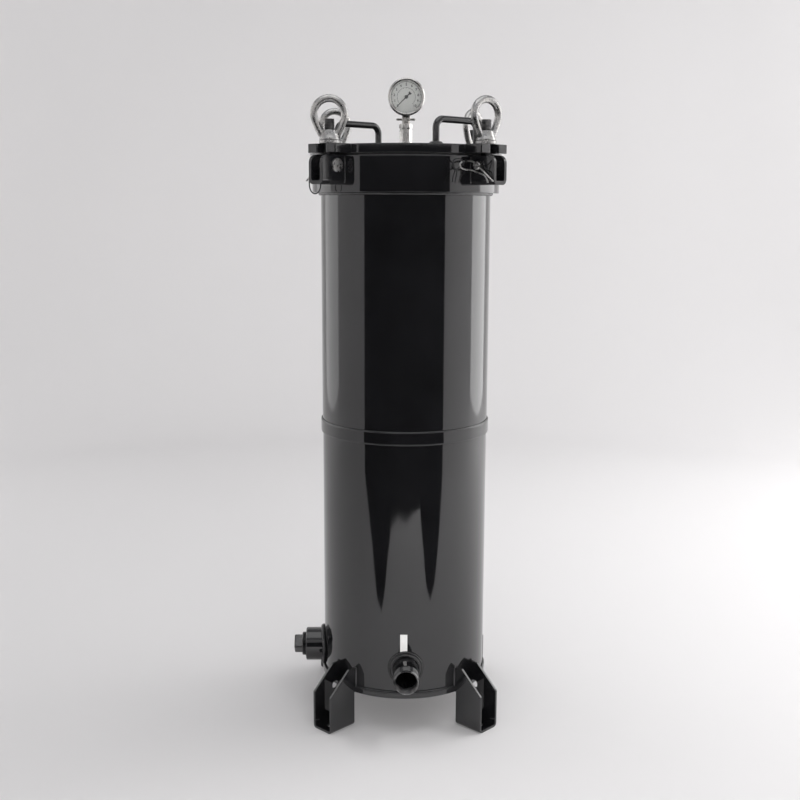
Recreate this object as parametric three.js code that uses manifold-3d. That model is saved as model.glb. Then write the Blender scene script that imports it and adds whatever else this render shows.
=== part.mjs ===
// A free-standing cartridge filter housing with a swing-bolt lid, in millimetres.
// +Z is up and the feet stand on z = 0. The front, with the inlet, faces -Y.
import * as THREE from "three";
import { mergeVertices } from "three/addons/utils/BufferGeometryUtils.js";
import Module from "manifold-3d";

const wasm = await Module();
wasm.setup();

// ---- Driving dimensions ----
const GAP = 0.3; // left between two pieces that touch
const ROUND = 48; // sides of the large turned pieces
const PIPE = 24; // sides of pipes
const FINE = 16; // sides of small round pieces

const SHELL = { r: 161.9, lowerR: 161.1, wall: 4.8, bottom: 76, seam: 574, top: 1087 };
const COLLAR = { r: 178, low: 1020.6, weldLow: 1014.5 };
const BAND = { r: 164.7, low: 563, high: 585, weld: 4 };
const BASE = { r: 164.6, low: 67 };
const LID = { r: 182, low: 1089.4, thick: 16, earR: 217, earWidth: 72, slot: 22, portR: 6 };
const LID_TOP = LID.low + LID.thick;
const GASKET = { innerR: 160, outerR: 176 };

const BOLT_R = 197; // radius of the bolt circle
const CORNERS = {
  front_right: { turn: -45, eyeYaw: 33, holeSide: 1 },
  front_left: { turn: -135, eyeYaw: 5, holeSide: -1 },
  rear_left: { turn: 135, eyeYaw: 16, holeSide: 1 },
  rear_right: { turn: 45, eyeYaw: 54, holeSide: -1 },
};
const STUD = { r: 9.5, pivot: 1068, top: 1148.5, eyeR: 17 };
const PIN = { r: 8, play: 0.3, headR: 12.5, head: 4, past: 9, clipHoleR: 1.95 };
const BRACKET = { width: 36, wall: 7, bend: 10, low: 1034, high: 1086, reach: 231, corner: 14 };
const WASHER = { r: 18.5, holeR: 10.2, thick: 5.6 };
const EYE = { baseR: 17.75, neckR: 12.4, threadR: 10, ringR: 27.3, barR: 6.2, ring: 1157, pinch: 0.22 };
const CLIP = { wireR: 1.6, t: -22.5, tilt: 38 };
const CORD_R = 1.1;

const LEG = { width: 50, wall: 4.8, bend: 8, reach: 226, shoulder: 74, top: 117, inner: 164 };
const LEG_HOLE = { r: 8, at: 172, high: 72 };
const ANCHOR_HOLE = { r: 7.5, at: 204 };

const NIPPLE = { r: 24.15, boreR: 20.45, high: 128, tip: 231, inner: 140, weldR: 34, weldTip: 172 };
const DRAIN = { r: 33, boreR: 24.3, high: 114, mouth: 198.6, weldR: 37, weldTip: 170 };
const PLUG = { threadR: 24, inner: 170, collar: 206, tip: 222.6, flats: 28.6 };

const HANDLE = { barR: 6.35, rise: 47.5, bend: 18, feet: [[52, -100], [131, -32]] };

const RISER = { flats: 21.2, baseFlats: 24, base: 11.5, top: 1140.2, boreR: 6.6 };
const BUSHING = { flats: 22.6, top: 1150, stubR: 6.2, stub: 16 };
const COCK = { neckR: 7.5, neckTop: 1155, side: 15.6, depth: 15, top: 1164, spindleR: 2.6 };
const TEE = { span: 35, bar: 4.5, y: 15.8, high: 1159.5 };
const GAUGE = { z: 1198, r: 33.2, back: 8, front: -22, cavityR: 31.6, floor: -14 };
const BEZEL = { r: 34.6, mouthR: 29.6, front: -27.5, skirt: -17 };
const LENS = { r: 33.1, front: -25.9, back: -23.5 };
const DIAL = { r: 31.2, front: -15.7, back: -14.3 };
const POINTER = { length: 25, tail: 9, hubR: 3.4, arborR: 1.1, y: -19, thick: 0.9, zero: -135 };

const STANDPIPE = { r: 30, boreR: 26, top: 196, seatR: 110, seat: 6, spigotR: 45, spigot: 13 };
const CARTRIDGE = { capR: 127, cap: 20, low: 202.3, high: 978, coreR: 60, valleyR: 84, pleatR: 122, pleats: 32 };
const HOLD_DOWN = { r: 62, thick: 6, coilR: 34, wireR: 3, turns: 5 };

// The footprint's centre is the origin, and the drain plug makes the footprint lopsided.
const AXIS_X = (PLUG.tip - LID.r) / 2;

// ---- Materials ----
const finish = (color, roughness, metalness) =>
  new THREE.MeshStandardMaterial({ color, roughness, metalness });
const blackPaint = finish(0x15161a, 0.16, 0.1);
const zinc = finish(0xb9bbbd, 0.28, 1);
const studSteel = finish(0x5f6062, 0.42, 1);
const stainless = finish(0xc4c3bf, 0.26, 1);
const rubber = finish(0x1c1c1c, 0.8, 0);
const cordBlack = finish(0x101010, 0.75, 0);
const dialWhite = finish(0xf2f1ec, 0.6, 0);
const pointerBlack = finish(0x111111, 0.45, 0);
const glass = new THREE.MeshStandardMaterial({ color: 0xffffff, roughness: 0.03, transparent: true, opacity: 0.3 });
const filterPaper = finish(0xe9e6da, 0.9, 0);
const capPlastic = finish(0x2b4f78, 0.5, 0);

// ---- Solid helpers ----
const radians = THREE.MathUtils.degToRad;

// A closed geometry as a solid that can be joined and cut.
function solid(geometry) {
  geometry.deleteAttribute("normal");
  geometry.deleteAttribute("uv");
  const merged = mergeVertices(geometry, 1e-3);
  const corners = merged.index.array;
  const faces = [];
  for (let i = 0; i < corners.length; i += 3) {
    const [a, b, c] = corners.slice(i, i + 3);
    if (a !== b && b !== c && c !== a) faces.push(a, b, c);
  }
  const vertProperties = merged.attributes.position.array;
  return new wasm.Manifold(new wasm.Mesh({ numProp: 3, vertProperties, triVerts: new Uint32Array(faces) }));
}

const join = (first, ...others) => others.reduce((whole, other) => whole.add(other), first);
const cut = (first, ...others) => others.reduce((whole, other) => whole.subtract(other), first);

// Turns a profile of [radius, height] points round the Z axis.
function turned(profile, sides = ROUND) {
  const closed = profile[0][0] > 0 ? [...profile, profile[0]] : profile;
  const points = closed.map(([r, z]) => new THREE.Vector2(r, z));
  return solid(new THREE.LatheGeometry(points, sides).rotateX(Math.PI / 2));
}

const ring = (innerR, outerR, low, high, sides = ROUND) =>
  turned([[innerR, low], [outerR, low], [outerR, high], [innerR, high]], sides);

// Round bars, or cones when two radii are given, along Z, X and Y.
const upright = (r, low, high, sides = FINE, topR = r) =>
  new THREE.CylinderGeometry(topR, r, high - low, sides).rotateX(Math.PI / 2).translate(0, 0, (low + high) / 2);
const outward = (r, from, to, high, sides = FINE, endR = r) =>
  new THREE.CylinderGeometry(endR, r, to - from, sides).rotateZ(-Math.PI / 2).translate((from + to) / 2, 0, high);
const sideways = (r, from, to, sides = FINE) =>
  new THREE.CylinderGeometry(r, r, to - from, sides).translate(0, (from + to) / 2, 0);

const block = (x0, x1, y0, y1, z0, z1) =>
  new THREE.BoxGeometry(x1 - x0, y1 - y0, z1 - z0).translate((x0 + x1) / 2, (y0 + y1) / 2, (z0 + z1) / 2);

// A hexagonal bar along Z with a corner facing the front.
const hexBar = (flats, low, high) => upright(flats / Math.sqrt(3), low, high, 6).rotateZ(Math.PI / 6);

// A flat outline in X and Z, as thick as width along Y.
const slab = (shape, width) =>
  new THREE.ExtrudeGeometry(shape, { depth: width, bevelEnabled: false, curveSegments: 3 })
    .rotateX(Math.PI / 2)
    .translate(0, width / 2, 0);

// A U-shaped bent plate that runs along X, open at the top.
function channel({ width, wall, bend, low, high, reach }) {
  const half = width / 2;
  const u = new THREE.Shape();
  u.moveTo(-half, high);
  u.lineTo(-half, low + bend);
  u.absarc(-half + bend, low + bend, bend, Math.PI, 1.5 * Math.PI);
  u.absarc(half - bend, low + bend, bend, 1.5 * Math.PI, 2 * Math.PI);
  u.lineTo(half, high);
  u.lineTo(half - wall, high);
  u.absarc(half - bend, low + bend, bend - wall, 0, -0.5 * Math.PI, true);
  u.absarc(-half + bend, low + bend, bend - wall, -0.5 * Math.PI, -Math.PI, true);
  u.lineTo(-half + wall, high);
  const along = new THREE.Matrix4().makeBasis(
    new THREE.Vector3(0, 1, 0),
    new THREE.Vector3(0, 0, 1),
    new THREE.Vector3(1, 0, 0),
  );
  const bent = new THREE.ExtrudeGeometry(u, { depth: reach, bevelEnabled: false, curveSegments: 3 });
  return solid(bent.applyMatrix4(along));
}

// A round bar or cord along a curve.
function tube(path, r, sides, steps) {
  const section = new THREE.Shape();
  for (let i = 0; i < sides; i++) {
    const angle = (2 * Math.PI * i) / sides;
    section[i ? "lineTo" : "moveTo"](r * Math.cos(angle), r * Math.sin(angle));
  }
  return solid(new THREE.ExtrudeGeometry(section, { extrudePath: path, steps }));
}

const smooth = (points) => new THREE.CatmullRomCurve3(points.map((p) => new THREE.Vector3(...p)));

function piece(parent, name, material, made) {
  const { vertProperties, triVerts } = made.getMesh();
  const geometry = new THREE.BufferGeometry()
    .setAttribute("position", new THREE.BufferAttribute(new Float32Array(vertProperties), 3))
    .setIndex(new THREE.BufferAttribute(triVerts, 1));
  geometry.computeVertexNormals();
  const mesh = new THREE.Mesh(geometry, material);
  mesh.name = name;
  parent.add(mesh);
}

// The space that the welded vessel takes, with the gap round it.
const vesselSpace = () =>
  turned([
    [0, BASE.low - GAP],
    [BASE.r + GAP, BASE.low - GAP],
    [BASE.r + GAP, SHELL.bottom + GAP],
    [SHELL.lowerR + GAP, SHELL.bottom + GAP],
    [SHELL.lowerR + GAP, COLLAR.weldLow - GAP],
    [COLLAR.r + GAP, COLLAR.low - GAP],
    [COLLAR.r + GAP, SHELL.top],
    [0, SHELL.top],
  ]);

// ---- Vessel ----
function upperShell() {
  return ring(SHELL.r - SHELL.wall, SHELL.r, SHELL.seam + GAP / 2, SHELL.top);
}

function lowerShell() {
  const tubeWall = ring(SHELL.lowerR - SHELL.wall, SHELL.lowerR, SHELL.bottom + GAP, SHELL.seam - GAP / 2);
  const portHole = (angle, r, high) => solid(outward(r, 100, 200, high, PIPE).rotateZ(radians(angle)));
  return cut(
    tubeWall,
    portHole(-90, NIPPLE.r + GAP, NIPPLE.high),
    portHole(90, NIPPLE.r + GAP, NIPPLE.high),
    portHole(180, PLUG.threadR, DRAIN.high),
  );
}

function midJointBand() {
  return turned([
    [SHELL.r + GAP, BAND.low - BAND.weld],
    [BAND.r, BAND.low],
    [BAND.r, BAND.high],
    [SHELL.r + GAP, BAND.high + BAND.weld],
  ]);
}

function topCollar() {
  return turned([
    [SHELL.r + GAP, COLLAR.weldLow],
    [SHELL.r + 6, COLLAR.low],
    [COLLAR.r, COLLAR.low],
    [COLLAR.r, SHELL.top],
    [SHELL.r + GAP, SHELL.top],
  ]);
}

const bottomPlate = () => solid(upright(BASE.r, BASE.low, SHELL.bottom, ROUND));

// ---- Ports, drawn along +X and turned to their side of the vessel ----
function nipple(innerEnd) {
  const pipe = solid(outward(NIPPLE.r, innerEnd, NIPPLE.tip, NIPPLE.high, PIPE));
  const weld = cut(
    solid(outward(NIPPLE.weldR, 150, NIPPLE.weldTip, NIPPLE.high, PIPE, NIPPLE.r + 1)),
    vesselSpace(),
  );
  return cut(join(pipe, weld), solid(outward(NIPPLE.boreR, innerEnd - 50, NIPPLE.tip + 5, NIPPLE.high, PIPE)));
}

// The outlet's inner end is shaped to the standpipe that it is welded to.
const outletNipple = () => cut(nipple(STANDPIPE.r - 8), solid(upright(STANDPIPE.r + 2 * GAP, 70, 200, PIPE)));

function drainCoupling() {
  const body = join(
    solid(outward(DRAIN.r, 150, DRAIN.mouth, DRAIN.high, PIPE)),
    solid(outward(DRAIN.weldR, 150, DRAIN.weldTip, DRAIN.high, PIPE, DRAIN.r)),
  );
  return cut(
    body,
    solid(outward(DRAIN.boreR, 100, DRAIN.mouth + 5, DRAIN.high, PIPE)),
    vesselSpace(),
  );
}

function drainPlug() {
  const corner = PLUG.flats / Math.SQRT2;
  return join(
    solid(outward(PLUG.threadR, PLUG.inner, PLUG.collar, DRAIN.high, PIPE)),
    solid(outward(corner, PLUG.collar - 1, PLUG.tip, DRAIN.high, 4)),
  );
}

// ---- Legs and closures, drawn on +X and turned to each corner ----
// A leg bent from one plate. Only its side that faces left or right has the bolt hole.
function leg(holeSide) {
  const side = new THREE.Shape();
  side.moveTo(LEG.inner, -1);
  side.lineTo(LEG.reach, -1);
  side.lineTo(LEG.reach, LEG.shoulder);
  side.lineTo(COLLAR.r, LEG.top);
  side.lineTo(150, LEG.top);
  side.lineTo(150, BASE.low);
  side.lineTo(LEG.inner, BASE.low);
  const bent = channel({ ...LEG, low: 0, high: LEG.top + 10, reach: 300 });
  return cut(
    bent.intersect(solid(slab(side, LEG.width + 10))),
    vesselSpace(),
    solid(sideways(LEG_HOLE.r, -10, 10).translate(LEG_HOLE.at, (holeSide * LEG.width) / 2, LEG_HOLE.high)),
    solid(upright(ANCHOR_HOLE.r, -5, 15).translate(ANCHOR_HOLE.at, 0, 0)),
  );
}

function clevisBracket() {
  const side = new THREE.Shape();
  side.moveTo(150, BRACKET.low - 1);
  side.lineTo(BRACKET.reach, BRACKET.low - 1);
  side.lineTo(BRACKET.reach, BRACKET.high - BRACKET.corner);
  side.absarc(
    BRACKET.reach - BRACKET.corner, BRACKET.high - BRACKET.corner, BRACKET.corner, 0, Math.PI / 2,
  );
  side.lineTo(150, BRACKET.high);
  const bent = channel({ ...BRACKET, high: BRACKET.high + 10, reach: 300 });
  return cut(
    bent.intersect(solid(slab(side, BRACKET.width + 10))),
    vesselSpace(),
    solid(sideways(PIN.r + PIN.play, -40, 40).translate(BOLT_R, 0, STUD.pivot)),
  );
}

function swingBolt() {
  const body = join(
    solid(sideways(STUD.eyeR, -STUD.r, STUD.r).translate(BOLT_R, 0, STUD.pivot)),
    solid(upright(STUD.r, STUD.pivot, STUD.top).translate(BOLT_R, 0, 0)),
  );
  return cut(body, solid(sideways(PIN.r + PIN.play, -20, 20).translate(BOLT_R, 0, STUD.pivot)));
}

const WASHER_TOP = LID_TOP + GAP + WASHER.thick;
function washer() {
  const shape = upright(WASHER.r, LID_TOP + GAP, WASHER_TOP, 24).translate(BOLT_R, 0, 0);
  return cut(solid(shape), solid(upright(WASHER.holeR, LID_TOP, WASHER_TOP + 1).translate(BOLT_R, 0, 0)));
}

// A lifting-eye nut: a conical base under a pear-shaped eye.
function eyeNut(yaw) {
  const base = WASHER_TOP + GAP;
  const body = turned(
    [
      [0, base],
      [EYE.baseR, base],
      [EYE.baseR, base + 4.5],
      [EYE.neckR, base + 19.5],
      [EYE.neckR, base + 25],
      [0, base + 25],
    ],
    FINE,
  );
  const eye = new THREE.TorusGeometry(EYE.ringR, EYE.barR, 8, 18).rotateX(Math.PI / 2);
  const at = eye.attributes.position;
  for (let i = 0; i < at.count; i++) {
    const below = Math.max(0, -at.getZ(i) / EYE.ringR);
    at.setX(i, at.getX(i) * (1 - EYE.pinch * below));
  }
  const whole = join(body, solid(eye.translate(0, 0, EYE.ring).rotateZ(radians(yaw))));
  return cut(whole, solid(upright(EYE.threadR, base - 5, EYE.ring - EYE.ringR + EYE.barR + 4)));
}

function clevisPin() {
  const outer = BRACKET.width / 2;
  const body = join(
    solid(sideways(PIN.r, -outer - PIN.past, outer + GAP + 1)),
    solid(sideways(PIN.headR, outer + GAP, outer + GAP + PIN.head)),
  );
  const clipHole = new THREE.CylinderGeometry(PIN.clipHoleR, PIN.clipHoleR, 40, 12)
    .rotateZ(-Math.PI / 2)
    .rotateY(radians(CLIP.tilt))
    .translate(0, CLIP.t, 0);
  return cut(body, solid(clipHole));
}

// The clip's own frame: u runs down its straight leg, v across it and up, t along the pin.
const CLIP_POINTS = [
  [44.5, CLIP.t, 0],
  [24, CLIP.t, 0],
  [0, CLIP.t, 0],
  [-9, CLIP.t, 0],
  [-13, -26.5, -0.6],
  [-14.4, -34, -1.6],
  [-14.4, -44, -2.4],
  [-13, -51.5, -4.2],
  [-9.6, -55.8, -7.7],
  [-6.2, -52.5, -11],
  [-4.8, -44.5, -12.4],
  [-4.2, -35, -12.8],
  [-3.2, -27.5, -12.4],
  [1.5, CLIP.t, -11.4],
  [7, CLIP.t, -10],
  [13, CLIP.t, -7.6],
  [19, CLIP.t, -5.2],
  [26, CLIP.t, -4.2],
  [37, CLIP.t, -8],
];

function hairpinClip() {
  const [c, s] = [Math.cos(radians(CLIP.tilt)), Math.sin(radians(CLIP.tilt))];
  return tube(smooth(CLIP_POINTS.map(([u, t, v]) => [u * c + v * s, t, -u * s + v * c])), CLIP.wireR, 6, 38);
}

// A cord tied through the clip's eye, with both tails hanging.
const TIED_CORD = [
  [181.6, -72, 1038],
  [181.2, -70, 1046],
  [181.2, -67.5, 1053],
  [181.4, -65.5, 1059],
  [181.2, -67.5, 1065],
  [181.4, -70, 1070],
  [182.6, -70.5, 1075],
  [185.5, -67.5, 1078.5],
  [189, -62, 1078.5],
  [190.8, -56, 1075],
  [188.8, -51.5, 1070.5],
  [184.4, -50.5, 1067.6],
  [180.6, -53, 1064],
  [179.8, -57.5, 1061.5],
  [181.8, -62, 1060.2],
  [185.4, -65, 1058.5],
  [187, -67, 1053],
  [187.4, -69.5, 1046],
  [187, -71.5, 1037],
];

// A cord that hangs in a loop from the clip, beside the bracket and below it.
const LOOPED_CORD = [
  [221.6, -25.6, 1050],
  [221.9, -26, 1045.5],
  [222, -26.5, 1040.5],
  [221.8, -26.8, 1035],
  [221, -27, 1029.5],
  [219, -27.1, 1024.5],
  [215.5, -27.1, 1020.6],
  [211.8, -27.1, 1018.6],
  [208, -27.1, 1018],
  [204.2, -27.1, 1018.6],
  [200.5, -27.1, 1020.6],
  [197, -27.1, 1024.5],
  [195, -27, 1029.5],
  [194.2, -26.8, 1035],
  [194, -26.5, 1040.5],
  [194.2, -26.3, 1046],
  [194.8, -25.9, 1051.5],
  [195.6, -25.7, 1057],
];
const LANYARDS = {
  front_right: TIED_CORD,
  front_left: LOOPED_CORD,
  rear_left: LOOPED_CORD,
  rear_right: TIED_CORD,
};
const lanyard = (corner) => tube(smooth(LANYARDS[corner]), CORD_R, 8, 24);

// ---- Lid ----
function lidPlate() {
  const half = LID.slot / 2;
  const disc = solid(upright(LID.r, LID.low, LID_TOP, ROUND));
  const ears = Object.values(CORNERS).map(({ turn }) =>
    solid(
      block(100, LID.earR, -LID.earWidth / 2, LID.earWidth / 2, LID.low, LID_TOP).rotateZ(radians(turn)),
    ),
  );
  const slots = Object.values(CORNERS).flatMap(({ turn }) => [
    solid(upright(half, LID.low - 5, LID_TOP + 5).translate(BOLT_R, 0, 0).rotateZ(radians(turn))),
    solid(block(BOLT_R, LID.earR + 20, -half, half, LID.low - 5, LID_TOP + 5).rotateZ(radians(turn))),
  ]);
  return cut(join(disc, ...ears), ...slots, solid(upright(LID.portR, LID.low - 5, LID_TOP + 5)));
}

function lidHandle(side) {
  const [[ax, ay], [bx, by]] = HANDLE.feet.map(([x, y]) => [x * side, y * side]);
  const span = Math.hypot(bx - ax, by - ay);
  const foot = LID_TOP + GAP;
  const bar = LID_TOP + HANDLE.rise;
  const at = (along, z) =>
    new THREE.Vector3(ax + ((bx - ax) * along) / span, ay + ((by - ay) * along) / span, z);
  const path = new THREE.CurvePath();
  path.add(new THREE.LineCurve3(at(0, foot), at(0, bar - HANDLE.bend)));
  path.add(new THREE.QuadraticBezierCurve3(at(0, bar - HANDLE.bend), at(0, bar), at(HANDLE.bend, bar)));
  path.add(new THREE.LineCurve3(at(HANDLE.bend, bar), at(span - HANDLE.bend, bar)));
  path.add(
    new THREE.QuadraticBezierCurve3(at(span - HANDLE.bend, bar), at(span, bar), at(span, bar - HANDLE.bend)),
  );
  path.add(new THREE.LineCurve3(at(span, bar - HANDLE.bend), at(span, foot)));
  const whole = tube(path, HANDLE.barR, 8, 22);
  return cut(whole, solid(block(-300, 300, -300, 300, foot - 30, foot)));
}

// ---- Gauge, drawn facing -Y over the vessel's axis ----
function gaugeRiser() {
  const seat = LID_TOP + GAP;
  return cut(
    join(solid(hexBar(RISER.baseFlats, seat, seat + RISER.base)), solid(hexBar(RISER.flats, seat, RISER.top))),
    solid(upright(RISER.boreR, seat - 5, RISER.top + 5)),
  );
}

function gaugeBushing() {
  const seat = RISER.top + GAP;
  return cut(
    join(solid(hexBar(BUSHING.flats, seat, BUSHING.top)), solid(upright(BUSHING.stubR, seat - BUSHING.stub, seat + 1))),
    solid(upright(3, seat - 30, seat + 30)),
  );
}

function gaugeCockBody() {
  const seat = BUSHING.top + GAP;
  const half = COCK.side / 2;
  const spindle = (r, to) => solid(sideways(r, 0, to, 16).translate(0, 0, TEE.high));
  return cut(
    join(
      solid(upright(COCK.neckR, seat, COCK.neckTop + 1)),
      solid(block(-half, half, -COCK.depth / 2, COCK.depth / 2, COCK.neckTop, COCK.top)),
      spindle(4.4, TEE.y - TEE.bar / 2 - GAP),
    ),
    spindle(COCK.spindleR + GAP, 30),
    solid(upright(4.3, TEE.high + 4, COCK.top + 5)),
  );
}

function gaugeCockHandle() {
  const [half, thick] = [TEE.span / 2, TEE.bar / 2];
  return join(
    solid(block(-half, half, TEE.y - thick, TEE.y + thick, TEE.high - thick, TEE.high + thick)),
    solid(sideways(COCK.spindleR, 1, TEE.y, 16).translate(0, 0, TEE.high)),
  );
}

// Turns a profile of [radius, depth] points round the gauge's own axis.
function turnedGauge(profile, sides = 32) {
  const closed = profile[0][0] > 0 ? [...profile, profile[0]] : profile;
  const points = closed.map(([r, y]) => new THREE.Vector2(r, y));
  return solid(new THREE.LatheGeometry(points, sides).translate(0, 0, GAUGE.z));
}

function gaugeCase() {
  const cup = turnedGauge([
    [0, GAUGE.floor],
    [GAUGE.cavityR, GAUGE.floor],
    [GAUGE.cavityR, GAUGE.front],
    [GAUGE.r, GAUGE.front],
    [GAUGE.r, GAUGE.back - 3],
    [GAUGE.r - 3, GAUGE.back],
    [0, GAUGE.back],
  ]);
  const stem = solid(upright(4, TEE.high + 4.5, GAUGE.z - 25, 16));
  const flats = solid(block(-7, 7, -7, 7, COCK.top + GAP, GAUGE.z - GAUGE.r + 2));
  return join(cup, stem, flats);
}

function gaugeBezel() {
  return turnedGauge([
    [BEZEL.mouthR, BEZEL.front],
    [BEZEL.r - 1.5, BEZEL.front],
    [BEZEL.r, BEZEL.front + 1.5],
    [BEZEL.r, BEZEL.skirt],
    [GAUGE.r + GAP, BEZEL.skirt],
    [GAUGE.r + GAP, LENS.front - GAP],
    [BEZEL.mouthR, LENS.front - GAP],
  ]);
}

const gaugeLens = () =>
  turnedGauge([[0, LENS.front], [LENS.r, LENS.front], [LENS.r, LENS.back], [0, LENS.back]]);

function gaugeDial() {
  const face = turnedGauge([[0, DIAL.front], [DIAL.r, DIAL.front], [DIAL.r, DIAL.back], [0, DIAL.back]]);
  return cut(face, solid(sideways(POINTER.arborR + GAP, -30, 0, 16).translate(0, 0, GAUGE.z)));
}

// A tapered needle on a round hub, with an arbor that runs through the dial.
function gaugePointer() {
  const needle = new THREE.Shape();
  needle.moveTo(-1.5, -POINTER.tail);
  needle.lineTo(1.5, -POINTER.tail);
  needle.lineTo(0.35, POINTER.length);
  needle.lineTo(-0.35, POINTER.length);
  const turn = radians(POINTER.zero);
  const blade = slab(needle, POINTER.thick).rotateY(turn).translate(0, POINTER.y, GAUGE.z);
  return join(
    solid(blade),
    solid(sideways(POINTER.hubR, POINTER.y - 1, POINTER.y + 1, 20).translate(0, 0, GAUGE.z)),
    solid(sideways(POINTER.arborR, POINTER.y, DIAL.back, 12).translate(0, 0, GAUGE.z)),
  );
}

// ---- Inside: outlet standpipe, cartridge and hold-down ----
function standpipe() {
  const { r, boreR, top, seatR, seat, spigotR, spigot } = STANDPIPE;
  const pipe = turned(
    [
      [0, SHELL.bottom + GAP],
      [r, SHELL.bottom + GAP],
      [r, top],
      [seatR, top],
      [seatR, top + seat],
      [spigotR, top + seat],
      [spigotR, top + seat + spigot],
      [boreR, top + seat + spigot],
      [boreR, SHELL.bottom + 6],
      [0, SHELL.bottom + 6],
    ],
    PIPE,
  );
  return cut(pipe, solid(outward(NIPPLE.boreR, 0, 60, NIPPLE.high, PIPE).rotateZ(Math.PI / 2)));
}

const CAP_TOP = CARTRIDGE.low + CARTRIDGE.cap;
const cartridgeLowerCap = () => ring(STANDPIPE.spigotR + GAP, CARTRIDGE.capR, CARTRIDGE.low, CAP_TOP, 32);

function cartridgeElement() {
  const outline = new THREE.Shape();
  for (let i = 0; i < 2 * CARTRIDGE.pleats; i++) {
    const angle = (Math.PI * i) / CARTRIDGE.pleats;
    const r = i % 2 ? CARTRIDGE.valleyR : CARTRIDGE.pleatR;
    outline[i ? "lineTo" : "moveTo"](r * Math.cos(angle), r * Math.sin(angle));
  }
  const depth = CARTRIDGE.high - CARTRIDGE.cap - CAP_TOP - 2 * GAP;
  const star = new THREE.ExtrudeGeometry(outline, { depth, bevelEnabled: false });
  return cut(solid(star.translate(0, 0, CAP_TOP + GAP)), solid(upright(CARTRIDGE.coreR, 100, 1000, 24)));
}

const cartridgeUpperCap = () =>
  solid(upright(CARTRIDGE.capR, CARTRIDGE.high - CARTRIDGE.cap, CARTRIDGE.high, 32));

const PLATE_TOP = CARTRIDGE.high + GAP + HOLD_DOWN.thick;
const holdDownPlate = () => solid(upright(HOLD_DOWN.r, CARTRIDGE.high + GAP, PLATE_TOP, 24));

function holdDownSpring() {
  const { coilR, wireR, turns } = HOLD_DOWN;
  const low = PLATE_TOP + GAP + wireR;
  const high = LID.low - GAP - wireR;
  class Helix extends THREE.Curve {
    getPoint(t, target = new THREE.Vector3()) {
      const angle = 2 * Math.PI * turns * t;
      return target.set(coilR * Math.cos(angle), coilR * Math.sin(angle), low + (high - low) * t);
    }
  }
  return tube(new Helix(), wireR, 6, 11 * turns);
}

// ---- Assembly ----
const part = new THREE.Group();
const housing = new THREE.Group();
housing.position.x = AXIS_X;
part.add(housing);

function turnedGroup(degrees) {
  const group = new THREE.Group();
  group.rotation.z = radians(degrees);
  housing.add(group);
  return group;
}

piece(housing, "upper_shell", blackPaint, upperShell());
piece(housing, "lower_shell", blackPaint, lowerShell());
piece(housing, "mid_joint_band", blackPaint, midJointBand());
piece(housing, "top_collar", blackPaint, topCollar());
piece(housing, "bottom_plate", blackPaint, bottomPlate());

piece(turnedGroup(-90), "inlet_nipple", blackPaint, nipple(NIPPLE.inner));
piece(turnedGroup(90), "outlet_nipple", blackPaint, outletNipple());
const drainSide = turnedGroup(180);
piece(drainSide, "drain_coupling", blackPaint, drainCoupling());
piece(drainSide, "drain_plug", blackPaint, drainPlug());

for (const [corner, { turn, eyeYaw, holeSide }] of Object.entries(CORNERS)) {
  const group = turnedGroup(turn);
  piece(group, "leg_" + corner, blackPaint, leg(holeSide));
  piece(group, "clevis_bracket_" + corner, blackPaint, clevisBracket());
  piece(group, "swing_bolt_" + corner, studSteel, swingBolt());
  piece(group, "washer_" + corner, zinc, washer());
  piece(group, "clip_lanyard_" + corner, cordBlack, lanyard(corner));

  const onBolt = new THREE.Group();
  onBolt.position.x = BOLT_R;
  group.add(onBolt);
  piece(onBolt, "eye_nut_" + corner, zinc, eyeNut(eyeYaw - turn));

  const onPin = new THREE.Group();
  onPin.position.set(BOLT_R, 0, STUD.pivot);
  group.add(onPin);
  piece(onPin, "clevis_pin_" + corner, zinc, clevisPin());
  piece(onPin, "hairpin_clip_" + corner, zinc, hairpinClip());
}

piece(housing, "lid_plate", blackPaint, lidPlate());
piece(housing, "lid_gasket", rubber, ring(GASKET.innerR, GASKET.outerR, SHELL.top + GAP, LID.low - GAP));
piece(housing, "lid_handle_front", blackPaint, lidHandle(1));
piece(housing, "lid_handle_rear", blackPaint, lidHandle(-1));

piece(housing, "gauge_riser", stainless, gaugeRiser());
piece(housing, "gauge_bushing", stainless, gaugeBushing());
piece(housing, "gauge_cock_body", stainless, gaugeCockBody());
piece(housing, "gauge_cock_handle", stainless, gaugeCockHandle());
piece(housing, "gauge_case", stainless, gaugeCase());
piece(housing, "gauge_bezel", stainless, gaugeBezel());
piece(housing, "gauge_dial", dialWhite, gaugeDial());
piece(housing, "gauge_pointer", pointerBlack, gaugePointer());
piece(housing, "gauge_lens", glass, gaugeLens());

piece(housing, "outlet_standpipe", stainless, standpipe());
piece(housing, "cartridge_lower_cap", capPlastic, cartridgeLowerCap());
piece(housing, "cartridge_element", filterPaper, cartridgeElement());
piece(housing, "cartridge_upper_cap", capPlastic, cartridgeUpperCap());
piece(housing, "hold_down_plate", stainless, holdDownPlate());
piece(housing, "hold_down_spring", stainless, holdDownSpring());

export default part;
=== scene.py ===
"""Looks of the cartridge filter housing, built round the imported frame. Shapes are in millimetres."""

import math

import bmesh
import bpy
from mathutils import Matrix, Vector, noise


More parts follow.
